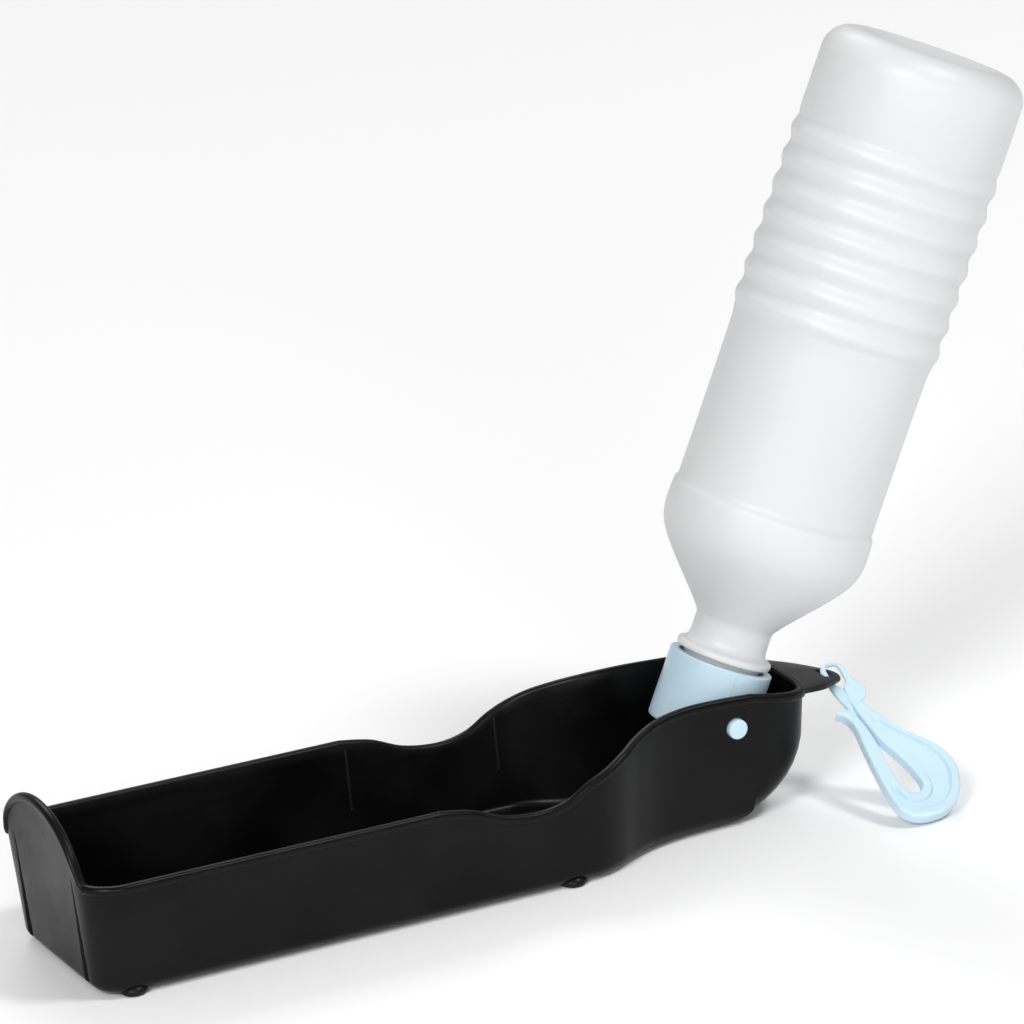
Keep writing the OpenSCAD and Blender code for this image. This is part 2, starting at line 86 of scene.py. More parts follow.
def curve(points, steps):
    """A smooth line through the points: between two of them a cubic whose slope at each is half
    the step from the point before to the point after."""
    p = np.asarray(points, float)
    a, b, c, d = p[np.r_[0, 0:len(p) - 2]], p[:-1], p[1:], p[np.r_[2:len(p), len(p) - 1]]
    t = (np.arange(steps) / steps)[None, :, None]
    a, b, c, d = a[:, None], b[:, None], c[:, None], d[:, None]
    line = 0.5 * (2 * b + (c - a) * t + (2 * a - 5 * b + 4 * c - d) * t**2
                  + (3 * b - a - 3 * c + d) * t**3)
    return np.vstack([line.reshape(-1, p.shape[1]), p[-1:]])


def sheet_of(grid, around_u=False, around_v=False, fans=()):
    """A grid of points and the four-sided faces between neighbours. A direction that goes
    around joins its last row to its first. Fans are extra faces, as lists of grid indices."""
    rows, cols = grid.shape[:2]
    index = np.arange(rows * cols).reshape(rows, cols)
    a = index if around_u else index[:-1]
    b = np.roll(index, -1, 0) if around_u else index[1:]
    if around_v:
        faces = np.stack([a, b, np.roll(b, -1, 1), np.roll(a, -1, 1)], -1)
    else:
        faces = np.stack([a[:, :-1], b[:, :-1], b[:, 1:], a[:, 1:]], -1)
    return grid.reshape(-1, 3), faces.reshape(-1, 4).tolist() + [list(f) for f in fans]


def solid(name, sheets, place=placed, bend=35):
    """One object from closed sheets. Points that meet are merged, faces are turned outwards,
    and edges that turn by more than bend degrees stay crisp."""
    points, faces, start = [], [], 0
    for p, f in sheets:
        points.append(place(p))
        faces += [[i + start for i in face] for face in f]
        start += len(p)
    mesh = bpy.data.meshes.new(name)
    mesh.from_pydata(np.vstack(points), [], faces)
    work = bmesh.new()
    work.from_mesh(mesh)
    bmesh.ops.remove_doubles(work, verts=work.verts, dist=2e-6)
    bmesh.ops.dissolve_degenerate(work, edges=work.edges, dist=1e-6)
    bmesh.ops.recalc_face_normals(work, faces=work.faces)
    work.to_mesh(mesh)
    work.free()
    mesh.shade_smooth()
    mesh.set_sharp_from_angle(angle=math.radians(bend))
    piece = bpy.data.objects.new(name, mesh)
    bpy.context.scene.collection.objects.link(piece)
    return piece


def turned(profile, spokes):
    """A profile of (radius, height) turned about the z axis: x and y are the radius times the
    cosine and the sine of the turn."""
    p = np.asarray(profile, float)
    angle = np.linspace(0, 2 * np.pi, spokes, endpoint=False)[:, None]
    grid = np.stack([p[:, 0] * np.cos(angle), p[:, 0] * np.sin(angle), p[:, 1] + 0 * angle], -1)
    return sheet_of(grid, around_u=True)


# The rim's line beyond the straight sides: distance from the hinge, then the shares of the
# narrowing, of the finger dip and of the head's rise.
rim_line = curve([
    (-112, 0, 0, 0), (-101, 0, 0.26, 0), (-90, 0, 0.8, 0), (-78, 0, 1, 0), (-68, 0, 0.8, 0),
    (-60, 0.02, 0.27, 0.01), (-53, 0.06, 0, 0.1), (-46, 0.23, 0, 0.42), (-38, 0.54, 0, 0.72),
    (-29, 0.8, 0, 0.92), (-18, 0.94, 0, 1), (-6, 0.99, 0, 0.96), (6, 1, 0, 0.87)], 10)


def arch(y):
    """Height of the end wall above the sides: a half ellipse with a softened foot."""
    tall = math.sqrt((arch_height + arch_soft)**2 - arch_soft**2)
    return np.sqrt(tall**2 * np.maximum(0, 1 - (y / arch_half)**2) + arch_soft**2) - arch_soft


def stations(x, w, z, edge, under, shift):
    """Columns for one stretch of the rim: place, half width, height, edge rounding, height of
    the underside, and how far the floor's outline is set back."""
    x = np.asarray(x, float)
    rest = [np.broadcast_to(np.asarray(c, float), x.shape) for c in (w, z, edge, under, shift)]
    return np.stack([x] + rest, 1)


end_flat = half_width - corner_round
y_end = np.linspace(0, end_flat, 71)[:-1]
turn = np.linspace(0, np.pi / 2, 15)
y_turn = end_flat + corner_round * np.sin(turn)
side_steps = np.linspace(0, 1, 24)[1:-1]
side_end = hinge_at - 112
side_x = np.linspace(corner_round, side_end, 24)[1:-1]
back_turn = np.pi / 4 * (1 - np.cos(np.linspace(0, np.pi, 49)[1:]))
line_at, line_narrow, line_dip, line_rise = rim_line.T
high = side_height + rim_fall


def back_plan(angle, inset):
    """The head's back in plan, from the side (0) to the middle (a quarter turn): the sine and
    cosine of an ellipse raised to a power under one, which squares its corners."""
    return np.stack([bend_at + (back_reach - inset) * np.sin(angle)**back_square,
                     (head_half - inset) * np.maximum(0, np.cos(angle))**back_square], 1)


back_x, back_y = back_plan(back_turn, 0).T
half = np.vstack([
    stations(0 * y_end, y_end, high + arch(y_end), edge_round, foot_height, 0),
    stations(corner_round * (1 - np.cos(turn)), y_turn, high + arch(y_turn), edge_round,
             foot_height, 0),
    stations(side_x, half_width, high - rim_fall * side_steps, edge_round, foot_height, 0),
    stations(hinge_at + line_at, half_width + (head_half - half_width) * line_narrow,
             side_height - dip_depth * line_dip + head_rise * line_rise,
             edge_round + (head_edge - edge_round) * line_narrow, foot_height * (1 - line_narrow),
             belly_shift * np.maximum(0, (line_at + belly_from) / (belly_from + 6))**2),
    stations(back_x, back_y, bend_height - (back_x - bend_at) * math.tan(tab_slope),
             head_edge + (belly_round - head_edge) * ((back_x - bend_at) / back_reach)**belly_power,
             0, belly_shift)])
count = len(half)
back_from = count - len(back_turn) - 1
plan = half[:, :2]
along = np.gradient(plan, axis=0)
along /= np.linalg.norm(along, axis=1)[:, None]
outward = np.stack([-along[:, 1], along[:, 0]], 1)
outward[0], outward[-1] = (-1, 0), (1, 0)
rim_z, edge_r, under_z = half[:, 2], half[:, 3], half[:, 4]


def wall_in(z):
    """How far the wall has moved inwards at height z: the drop from the rim times the draft's
    tangent. The arch above it is almost upright."""
    return (side_height - z) * np.where(z > side_height, arch_lean, draft)


set_back = np.stack([half[:, 5], 0 * rim_z], 1)
floor_plan = plan - outward * (wall_in(under_z) + edge_r)[:, None] - set_back
sweep = np.r_[0, back_turn]
floor_plan[back_from:] = np.stack([
    bend_at - belly_shift + (back_reach - wall_in(0) - belly_round + belly_shift) * np.sin(sweep),
    (head_half - wall_in(0) - edge_r[back_from]) * np.cos(sweep)], 1)


def ring(xy, z):
    """One closed ring: the near half from the end wall to the back, then the far half home."""
    xy = xy.copy()
    xy[0, 1] = xy[-1, 1] = 0
    near = np.column_stack([xy[:, 0], -xy[:, 1], np.broadcast_to(z, len(xy))])
    far = (near * [1, -1, 1])[-2:0:-1]
    return np.vstack([near, far])


def on_wall(off, z):
    """The ring on the wall at height z, off millimetres outside its outer face."""
    z = np.broadcast_to(z, count)
    return ring(plan + outward * (off - wall_in(z))[:, None], z)


def on_edge(off, angle):
    """The ring on the rounded lower edge, from the wall (0) to the floor (a quarter turn): it
    moves in by one less the cosine, and down by the sine."""
    top = plan + outward * (off - wall_in(under_z + edge_r))[:, None]
    return ring(top + (floor_plan - top) * (1 - math.cos(angle)),
                under_z + edge_r - (edge_r + off) * math.sin(angle))


quarter = np.linspace(0, np.pi / 2, 12)
bead_drop, bead_in = 3.2, 1.1
bead = curve([(0, -bead_drop), (0.85, -2.7), (1.14, -1.7), (0.9, -0.7), (0.2, -0.1), (-0.8, 0),
              (-1.6, -0.35), (-wall, -bead_in)], 3)
wall_foot = under_z + edge_r
rings = [on_edge(0, a) for a in quarter[::-1]]
low, top = on_wall(0, wall_foot), on_wall(0, rim_z - bead_drop)
rings += [low + (top - low) * s for s in np.linspace(0, 1, 26)[1:-1]]
outer_count = len(rings)
rings += [on_wall(off, rim_z + drop) for off, drop in bead]
low, top = on_wall(-wall, wall_foot), on_wall(-wall, rim_z - bead_in)
rings += [top + (low - top) * s for s in np.linspace(0, 1, 12)[1:-1]]
rings += [on_edge(-wall, a) for a in quarter]
shell = np.array(rings)

# Two grooves frame the flat panel of the end wall, and widen downwards.
groove_at, groove_top, groove_deep = 22.3, side_height + 5, 0.9
groove_wide, groove_slope, end_depth = 2.2, 0.5, 4.5
face = shell[:outer_count]
beside_groove = np.abs(np.abs(face[..., 1]) - groove_at)
room = groove_wide * (groove_top - face[..., 2]) / groove_top - beside_groove
depth = np.clip(room / groove_slope, 0, 1)
on_end = face[..., 0] < end_depth
face[..., 0] += np.where(on_end, groove_deep * depth**2 * (3 - 2 * depth), 0)

ring_size = shell.shape[1]
first = len(y_end) + 1


def across(row):
    """The floor's faces, straight across from each station to its mirror image."""
    def at(i):
        """The index of the ring's point i, where a negative one is on the far half."""
        return row * ring_size + i % ring_size

    fans = [[at(i) for i in range(first, -first - 1, -1)]]
    fans += [[at(i), at(-i), at(-i - 1), at(i + 1)] for i in range(first, count - 2)]
    return fans + [[at(count - 2), at(2 - count), at(count - 1)]]


shell_sheet = sheet_of(shell, around_v=True, fans=across(0) + across(len(shell) - 1))
trough_shell = solid("trough_shell", [shell_sheet])

# Round holes for the cap's pins, a little flared where they break through the wall.
hinge_z = hinge[2] * 1000
bore_r, flare_r, bore_end, flare_from, flare_to = 3.55, 4.3, 26, 21.5, 22.4
bore = turned([(0, -bore_end), (flare_r, -bore_end), (flare_r, -flare_to), (bore_r, -flare_from),
               (bore_r, flare_from), (flare_r, flare_to), (flare_r, bore_end), (0, bore_end)], 64)
bore = (bore[0][:, [0, 2, 1]] + [hinge_at, 0, hinge_z], bore[1])
cutter = solid("bore_cutter", [bore])


def cut(piece, tool):
    """Takes the tool's shape out of the piece, and removes the tool."""
    step = piece.modifiers.new("cut", "BOOLEAN")
    step.operation, step.solver, step.object = "DIFFERENCE", "EXACT", tool
    view = bpy.context.evaluated_depsgraph_get()
    done = bpy.data.meshes.new_from_object(piece.evaluated_get(view))
    piece.modifiers.clear()
    piece.data = done
    bpy.data.objects.remove(tool)
    done.shade_smooth()
    done.set_sharp_from_angle(angle=math.radians(35))


cut(trough_shell, cutter)

# The flat tab behind the head, on the slope of the rim, with the slot for the clip.
tab_half = [(6, 21.7), (14, 21.2), (20, 20.3), (26, 17.6), (30, 15.4), (34, 13.8), (38, 11.8),
            (42, 8.8), (45.5, 5.6), (47.6, 3.4)]
tab_tip = 48.6
tab_line = curve([(hinge_at + x, -y) for x, y in tab_half] + [(hinge_at + tab_tip, 0)]
                 + [(hinge_at + x, y) for x, y in tab_half[::-1]], 8)
share = np.linspace(-np.pi / 2, np.pi / 2, len(tab_line))
inner_line = back_plan(np.pi / 2 - np.abs(share), 1.0) - [0.5, 0]
inner_line[:, 1] *= np.sign(share)
out = tab_line - inner_line
reach = np.linalg.norm(out, axis=1)[:, None]
out /= np.maximum(reach, 1e-6)
half_thick = tab_thick / 2
edge = np.linspace(np.pi / 2, -np.pi / 2, 13)[1:-1]
section = [(0, half_thick), (1, half_thick)] + [(1, half_thick * math.sin(a)) for a in edge]
section += [(1, -half_thick), (0, -half_thick)]
bulge = [-1, 0] + [math.cos(a) for a in edge] + [0, -1]
tab_sink = 0.2
tab_grid = []
for (s, lift), push in zip(section, bulge):
    base = inner_line if s == 0 else tab_line - out * half_thick * (1 - push)
    slope_down = (base[:, 0] - bend_at) * math.tan(tab_slope)
    top = bend_height - tab_sink - slope_down - half_thick + lift
    tab_grid.append(np.column_stack([base, top]))
tab_grid = np.array(tab_grid)
tab_rows, tab_cols = tab_grid.shape[:2]
ends = [[r * tab_cols for r in range(tab_rows)], [(r + 1) * tab_cols - 1 for r in range(tab_rows)]]
tab = solid("tab", [sheet_of(tab_grid, around_u=True, fans=ends)])
slot_from, slot_to, slot_half, slot_round = hinge_at + 41.7, hinge_at + 45.8, 3.8, 0.9
slot_near, slot_far = slot_from + slot_round, slot_to - slot_round
slot_side = slot_half - slot_round
corner = np.linspace(0, np.pi / 2, 6)
slot_line = np.vstack([
    np.stack([cx + slot_round * np.cos(corner + q), cy + slot_round * np.sin(corner + q)], 1)
    for cx, cy, q in ((slot_far, slot_side, 0), (slot_near, slot_side, np.pi / 2),
                      (slot_near, -slot_side, np.pi), (slot_far, -slot_side, 3 * np.pi / 2))])
slot_heights = (30.0, 45.0)
slot_grid = np.array([np.column_stack([slot_line, np.full(len(slot_line), h)])
                      for h in slot_heights])
n = len(slot_line)
slot_ends = [list(range(n)), list(range(2 * n - 1, n - 1, -1))]
cut(tab, solid("slot_cutter", [sheet_of(slot_grid, around_v=True, fans=slot_ends)]))

# Round feet under the corners, and two fine ribs up the inside of each long wall.
foot = [(0, 0), (3.1, 0), (3.5, 0.1), (4, 0.35), (4.35, 0.8), (4.5, 1.3), (4.45, 1.8), (4.1, 2.3),
        (3.5, 2.9), (0, 2.9)]
foot_y = half_width - side_height * draft - edge_round + 0.4
front_foot, back_foot = 14.6, hinge_at - 65
small = []
for x in (front_foot, back_foot):
    for y in (-foot_y, foot_y):
        points, faces = turned(foot, 40)
        small.append((points + [x, y, 0], faces))
around = np.linspace(0, 2 * np.pi, 12, endpoint=False)
fine_wide, fine_proud, fine_sunk = 0.45, 0.4, 0.1
for x, low, top in ((119.8, 14.6, 34.8), (172.2, 16.6, 34.2)):
    for side in (-1, 1):
        z = np.array([low, low + 0.1, low + 1.1, top - 1.1, top - 0.1, top])
        size = np.array([0, 0.6, 1, 1, 0.6, 0])
        narrow = np.interp(x - hinge_at, line_at, line_narrow)
        inside = half_width + (head_half - half_width) * narrow - wall - wall_in(z)
        proud = fine_proud * size[:, None] * np.sin(around)
        bar = np.stack([x + fine_wide * size[:, None] * np.cos(around),
                        side * (inside[:, None] + fine_sunk - proud),
                        z[:, None] + 0 * around], -1)
        small.append(sheet_of(bar, around_v=True))
trough_details = solid("trough_feet_ribs", small)


def joined(name, pieces):
    """Several objects as one."""
    work = bmesh.new()
    for piece in pieces:
        work.from_mesh(piece.data)
    mesh = bpy.data.meshes.new(name)
    work.to_mesh(mesh)
    work.free()
    for piece in pieces:
        bpy.data.objects.remove(piece)
    whole = bpy.data.objects.new(name, mesh)
    bpy.context.scene.collection.objects.link(whole)
    return whole


def finish_of(name, colour, roughness, grain, depth, specks, edge_wear_and_highlight, **sheen):
    """A moulded plastic: two cloudy tones of one colour, a roughness that wanders a little, a
    fine moulded grain, shallow long scuffs, and edges painted lighter, as wear and as a painted
    highlight."""
    m = bpy.data.materials.new(name)
    m.use_nodes = True
    nodes, links = m.node_tree.nodes, m.node_tree.links
    shader = nodes["Principled BSDF"]
    for key, value in sheen.items():
        shader.inputs[key.replace("_", " ")].default_value = value
    where = nodes.new("ShaderNodeTexCoord").outputs["Object"]

    def noise(scale, detail, stretch=None):
        """Cloudy noise on the object's own coordinates, stretched where asked."""
        place = where
        if stretch:
            mapping = nodes.new("ShaderNodeMapping")
            mapping.inputs["Scale"].default_value = stretch
            links.new(where, mapping.inputs["Vector"])
            place = mapping.outputs["Vector"]
        t = nodes.new("ShaderNodeTexNoise")
        t.inputs["Scale"].default_value = scale
        t.inputs["Detail"].default_value = detail
        links.new(place, t.inputs["Vector"])
        return t.outputs["Fac"]

    def spread(value, low, high, to_low, to_high):
        """The value, with low to high laid evenly over to_low to to_high."""
        r = nodes.new("ShaderNodeMapRange")
        limits = {"From Min": low, "From Max": high, "To Min": to_low, "To Max": to_high}
        for key, v in limits.items():
            r.inputs[key].default_value = v
        links.new(value, r.inputs["Value"])
        return r.outputs["Result"]

    def blend(kind, amount, a, b):
        """Two colours mixed: one less the amount of a, and the amount of b."""
        mix = nodes.new("ShaderNodeMix")
        mix.data_type, mix.blend_type = "RGBA", kind
        for socket, v in ((mix.inputs["Factor"], amount), (mix.inputs[6], a), (mix.inputs[7], b)):
            if isinstance(v, (float, int, tuple, list)):
                socket.default_value = v
            else:
                links.new(v, socket)
        return mix.outputs[2]

    clouds = noise(28, 4)
    pale = tuple(min(1, c * (1 + specks) + 0.002) for c in colour) + (1,)
    deep = tuple(c * (1 - specks) for c in colour) + (1,)
    tone = blend("MIX", spread(clouds, 0.35, 0.65, 0, 1), deep, pale)
    # Sharp edges, found by pointiness, are painted lighter by the given amount: a little edge wear,
    # and where the amount is large, a painted highlight along rims and beads.
    edges = nodes.new("ShaderNodeNewGeometry").outputs["Pointiness"]
    worn_and_highlit = tuple(min(1, c * (1 + edge_wear_and_highlight) + 0.02 * edge_wear_and_highlight) for c in colour) + (1,)
    tone = blend("MIX", spread(edges, 0.53, 0.62, 0, 0.5), tone, worn_and_highlit)
    links.new(tone, shader.inputs["Base Color"])

    scuffs = spread(noise(90, 6, (0.25, 1.6, 1.6)), 0.6, 0.74, 0, 0.07)
    rough = spread(noise(55, 5), 0.3, 0.7, roughness - 0.05, roughness + 0.05)
    total = nodes.new("ShaderNodeMath")
    total.operation = "ADD"
    links.new(rough, total.inputs[0])
    links.new(scuffs, total.inputs[1])
    links.new(total.outputs[0], shader.inputs["Roughness"])

    bump = nodes.new("ShaderNodeBump")
    bump.inputs["Strength"].default_value = depth
    bump.inputs["Distance"].default_value = 0.00012
    links.new(noise(grain, 3), bump.inputs["Height"])
    wave = nodes.new("ShaderNodeBump")
    wave.inputs["Strength"].default_value = 0.18
    wave.inputs["Distance"].default_value = 0.0012
    links.new(noise(38, 2), wave.inputs["Height"])
    links.new(wave.outputs["Normal"], bump.inputs["Normal"])
    links.new(bump.outputs["Normal"], shader.inputs["Normal"])
    return m


trough = joined("trough_body", [trough_shell, tab, trough_details])
# Its edge amount of 2.0 paints the rims and beads far lighter than the black itself: a painted
# highlight along them.
black = finish_of("black_polypropylene", (0.0018, 0.0018, 0.0017), 0.34, 1500, 0.35, 0.35, 2.0,
                  Specular_IOR_Level=0.15)
trough.data.materials.append(black)
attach(trough, "trough")
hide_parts("trough")


# ---------------------------------------------------------------- bottle
# The squeeze bottle is blown from soft natural polyethylene, so it is milky and lets light
# through. Seven shallow ribs make it easy to squeeze. Sizes run along its axis from the hinge.
lean = math.radians(24.8)
bottle_r = 32.5
bottle_length = 222.5
bottle_wall = 0.9
neck_r, neck_bore, collar_r = 12.6, 10.9, 15.6
collar_at = 17.8
mouth_at = -3.7
waist_r = neck_r + 0.1
shoulder_r = bottle_r + 1.1
rib_count, rib_pitch, rib_depth = 7, 9.2, 1.1
ribs_at = bottle_length - 31.5 - rib_count * rib_pitch
rib_mean = bottle_r + 1.1
base_plain = bottle_r + 0.9
base_round = 9.0
base_r = base_plain - base_round
push_up = 3.0


def on_axis(points):
    """Points drawn along the bottle's axis, in millimetres: turned back by the lean, whose
    cosine and sine mix x and z, and moved to the hinge, in metres."""
    p = np.asarray(points, float) / 1000
    x = p[:, 0] * math.cos(lean) + p[:, 2] * math.sin(lean)
    z = -p[:, 0] * math.sin(lean) + p[:, 2] * math.cos(lean)
    return np.stack([x, p[:, 1], z], 1) + np.array(hinge)


# The shoulder's line gives the share of the way from the neck's width to the shoulder's.
shoulder = curve([(0, 27), (0.005, 29.5), (0.085, 32), (0.205, 35), (0.42, 40), (0.63, 45),
                  (0.82, 50), (0.93, 54), (0.985, 58), (1, 63), (0.985, 68.4)], 6)
shoulder[:, 0] = waist_r + (shoulder_r - waist_r) * shoulder[:, 0]
rib_turns = np.linspace(0, rib_count, 18 * rib_count + 1)
rib_wave = rib_depth / 2 * np.cos(2 * np.pi * rib_turns)
ribs = np.stack([rib_mean - rib_wave, ribs_at + rib_pitch * rib_turns], 1)
round_turn = np.linspace(0, np.pi / 2, 14)
base = np.stack([base_r + base_round * np.cos(round_turn),
                 bottle_length - base_round + base_round * np.sin(round_turn)], 1)
plain = curve([(bottle_r, 69.4), (bottle_r - 0.05, 85), (bottle_r - 0.05, 105),
               (bottle_r + 0.1, ribs_at - 3)], 5)
mouth_edge = [(neck_r - 0.5, mouth_at), (neck_r - 0.15, mouth_at + 0.1), (neck_r, mouth_at + 0.5),
              (neck_r, collar_at - 0.3)]
collar = curve([
    (neck_r + 0.3, collar_at), (collar_r - 0.6, collar_at + 0.05), (collar_r, collar_at + 0.7),
    (collar_r, collar_at + 1.8), (collar_r - 0.6, collar_at + 2.5), (waist_r + 1.1, collar_at + 3),
    (waist_r + 0.3, collar_at + 4.1), (waist_r, collar_at + 5.6)], 4)
underside = curve([
    (base_r - 1.5, bottle_length - 0.15), (base_r - 4, bottle_length - 0.9),
    (base_r * 0.6, bottle_length - 2.2), (base_r * 0.3, bottle_length - push_up),
    (0, bottle_length - push_up)], 6)
waist_at, neck_end, base_plain_at = 25, 27, bottle_length - 30
outer = np.vstack([mouth_edge, collar, [(waist_r, waist_at)], shoulder, plain, ribs,
                   [(base_plain, base_plain_at)], base, underside])

# The inner wall runs one thickness inside the outer one, square to its line.
tangent = np.gradient(outer, axis=0)
tangent /= np.linalg.norm(tangent, axis=1)[:, None]
inner = outer - np.stack([tangent[:, 1], -tangent[:, 0]], 1) * bottle_wall
inner = inner[outer[:, 1] > neck_end]
inner[:, 0] = np.maximum(inner[:, 0], 0)
inner[-1, 0] = 0
inside_neck = curve([(neck_bore, mouth_at), (neck_bore, 10), (neck_bore, 20),
                     (inner[0, 0] - 0.3, waist_at)], 4)
inner = np.vstack([inside_neck, inner])
profile = np.vstack([outer, inner[::-1]])
bottle_spokes = 168
bottle_sheet = turned(profile, bottle_spokes)
points = bottle_sheet[0].reshape(bottle_spokes, len(profile), 3)
mouth_ring = sheet_of(np.stack([points[:, 0], points[:, -1]], 1), around_u=True)


def thread(root, crest, start, rise, turns, wide, steps=220):
    """One ridge wound round the z axis: its section is carried along a helix, whose height
    grows evenly with the turn, and sinks into the root at both ends."""
    t = np.linspace(0, 1, steps)
    angle = 2 * np.pi * turns * t
    height = start + rise * turns * t
    full = np.clip(0.12 + np.minimum(t, 1 - t) * turns * 8, 0, 1)
    tip = root + (crest - root) * full
    flank = root + (tip - root) * 0.9
    radius = np.stack([root + 0 * t, flank, tip, tip, flank, root + 0 * t], 1)
    lift = wide * np.array([-0.5, -0.28, -0.2, 0.2, 0.28, 0.5])
    grid = np.stack([radius * np.cos(angle)[:, None], radius * np.sin(angle)[:, None],
                     height[:, None] + lift], -1)
    last = (steps - 1) * 6
    thread_ends = [list(range(6)), list(range(last + 5, last - 1, -1))]
    return sheet_of(grid, around_v=True, fans=thread_ends)


thread_rise, thread_turns, thread_start, thread_wide = 2.7, 0.75, 3.5, 1.6
neck_thread = thread(neck_r - 0.4, neck_r + 1.2, thread_start, thread_rise, thread_turns,
                     thread_wide)
bottle = solid("bottle_body", [bottle_sheet, mouth_ring, neck_thread], place=on_axis, bend=50)


def milky_finish(name):
    """Natural polyethylene: milky, letting some light through, with a tone and a roughness
    that follow one cloudy noise, slow waves in the wall and a fine orange peel over them."""
    m = bpy.data.materials.new(name)
    m.use_nodes = True
    nodes, links = m.node_tree.nodes, m.node_tree.links
    shader = nodes["Principled BSDF"]
    settings = {"IOR": 1.5, "Subsurface Weight": 0.5, "Subsurface Scale": 0.004,
                "Transmission Weight": 0.25, "Subsurface Radius": (1.0, 0.96, 0.93)}
    for key, value in settings.items():
        shader.inputs[key].default_value = value
    where = nodes.new("ShaderNodeTexCoord").outputs["Object"]
    cloud = nodes.new("ShaderNodeTexNoise")
    cloud.inputs["Scale"].default_value = 22
    cloud.inputs["Detail"].default_value = 5
    links.new(where, cloud.inputs["Vector"])
    ramp = nodes.new("ShaderNodeValToRGB")
    tones = ((0.3, (0.93, 0.933, 0.945, 1)), (0.7, (0.965, 0.966, 0.97, 1)))
    for stop, (position, colour) in zip(ramp.color_ramp.elements, tones):
        stop.position, stop.color = position, colour
    links.new(cloud.outputs["Fac"], ramp.inputs["Fac"])
    links.new(ramp.outputs["Color"], shader.inputs["Base Color"])
    rough = nodes.new("ShaderNodeMapRange")
    rough.inputs["To Min"].default_value, rough.inputs["To Max"].default_value = 0.34, 0.46
    links.new(cloud.outputs["Fac"], rough.inputs["Value"])
    links.new(rough.outputs["Result"], shader.inputs["Roughness"])
    peel = nodes.new("ShaderNodeTexNoise")
    peel.inputs["Scale"].default_value = 420
    peel.inputs["Detail"].default_value = 3
    links.new(where, peel.inputs["Vector"])
    waves = nodes.new("ShaderNodeTexNoise")
    waves.inputs["Scale"].default_value = 40
    waves.inputs["Detail"].default_value = 2
    links.new(where, waves.inputs["Vector"])
    slow = nodes.new("ShaderNodeBump")
    slow.inputs["Strength"].default_value = 0.25
    slow.inputs["Distance"].default_value = 0.0015
    links.new(waves.outputs["Fac"], slow.inputs["Height"])
    fine = nodes.new("ShaderNodeBump")
    fine.inputs["Strength"].default_value = 0.18
    fine.inputs["Distance"].default_value = 0.00015
    links.new(peel.outputs["Fac"], fine.inputs["Height"])
    links.new(slow.outputs["Normal"], fine.inputs["Normal"])
    links.new(fine.outputs["Normal"], shader.inputs["Normal"])
    return m


bottle.data.materials.append(milky_finish("milky_polyethylene"))
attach(bottle, "bottle")
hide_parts("bottle")


# ---------------------------------------------------------------- screw cap
# The cap is light blue polypropylene. Two flat pads on its wall carry the pins that turn in
# the trough's head, and its spout points down into the head. A fine line shows where its
# mould closed.
cap_r, cap_top, cap_bottom, cap_end = 17.0, 16.5, -7.0, 1.8
root_r = neck_r + 1.6
spout_r, spout_length = 4.8, 7.1
spout_at = cap_bottom - spout_length
pad_face, pad_half, pad_top = 18.8, 7.0, 6.0
pin_r, pin_end = 3.3, head_half + 1.1


def rounded(corners, radii, steps=5):
    """A polyline whose corners are rounded: each by a quadratic arc that starts and ends its
    own distance from the corner."""
    c = np.asarray(corners, float)
    line = [c[:1]]
    t = np.linspace(0, 1, steps)[:, None]
    for before, here, after, r in zip(c[:-2], c[1:-1], c[2:], radii):
        a = here + (before - here) / np.linalg.norm(before - here) * r
        b = here + (after - here) / np.linalg.norm(after - here) * r
        line.append(a * (1 - t)**2 + here * 2 * t * (1 - t) + b * t**2)
    return np.vstack(line + [c[-1:]])


def fine_line(line, longest):
    """The same polyline with extra points, so that no step is longer than that."""
    out = [line[:1]]
    for a, b in zip(line[:-1], line[1:]):
        k = max(1, int(np.ceil(np.linalg.norm(b - a) / longest)))
        out.append(a + (b - a) * (np.arange(1, k + 1) / k)[:, None])
    return np.vstack(out)


cap_floor = cap_bottom + cap_end
lip_r, spout_bore = spout_r + 0.7, spout_r - 1
cap_line = rounded([
    (root_r, cap_floor), (root_r, cap_top), (cap_r, cap_top), (cap_r, cap_bottom),
    (spout_r, cap_bottom), (spout_r, spout_at + 2), (lip_r, spout_at + 1.2), (lip_r, spout_at),
    (spout_bore, spout_at), (spout_bore, cap_floor), (root_r, cap_floor)],
    [0.5, 0.55, 0.9, 0.5, 0.3, 0.25, 0.25, 0.25, 0.1])
cap_line = fine_line(cap_line, 0.8)
cap_spokes = 240
cap_points, cap_faces = turned(cap_line, cap_spokes)
angle = np.arctan2(cap_points[:, 1], cap_points[:, 0])
radius = np.hypot(cap_points[:, 0], cap_points[:, 1])
height = cap_points[:, 2]
on_skin = radius > cap_r - 0.35
flat_r = np.minimum(pad_face / np.maximum(np.abs(np.sin(angle)), 0.2), pad_face + 1.2)
beside = np.clip((pad_half + 0.4 - flat_r * np.abs(np.cos(angle))) / 0.8, 0, 1)
below = np.clip((pad_top - height) / 0.7, 0, 1) * np.clip((height - cap_bottom - 0.3) / 0.9, 0, 1)
raised = beside**2 * (3 - 2 * beside) * below**2 * (3 - 2 * below) * on_skin
seam_turn, seam_height = math.radians(12), 0.16
seam = (np.abs(radius * np.cos(angle + seam_turn)) < 0.1) * on_skin * (height > pad_top + 0.6)
grow = 1 + (flat_r / radius - 1) * raised + seam_height / radius * seam
cap_points = cap_points * np.stack([grow, grow, np.ones_like(grow)], 1)
pin_line = rounded([(0, pin_end), (pin_r, pin_end), (pin_r, cap_r), (0, cap_r)], [0.75, 0.1], 7)
pins = []
for side in (-1, 1):
    p, f = turned(pin_line, 56)
    pins.append((np.stack([p[:, 0], side * p[:, 2], p[:, 1]], 1), f))

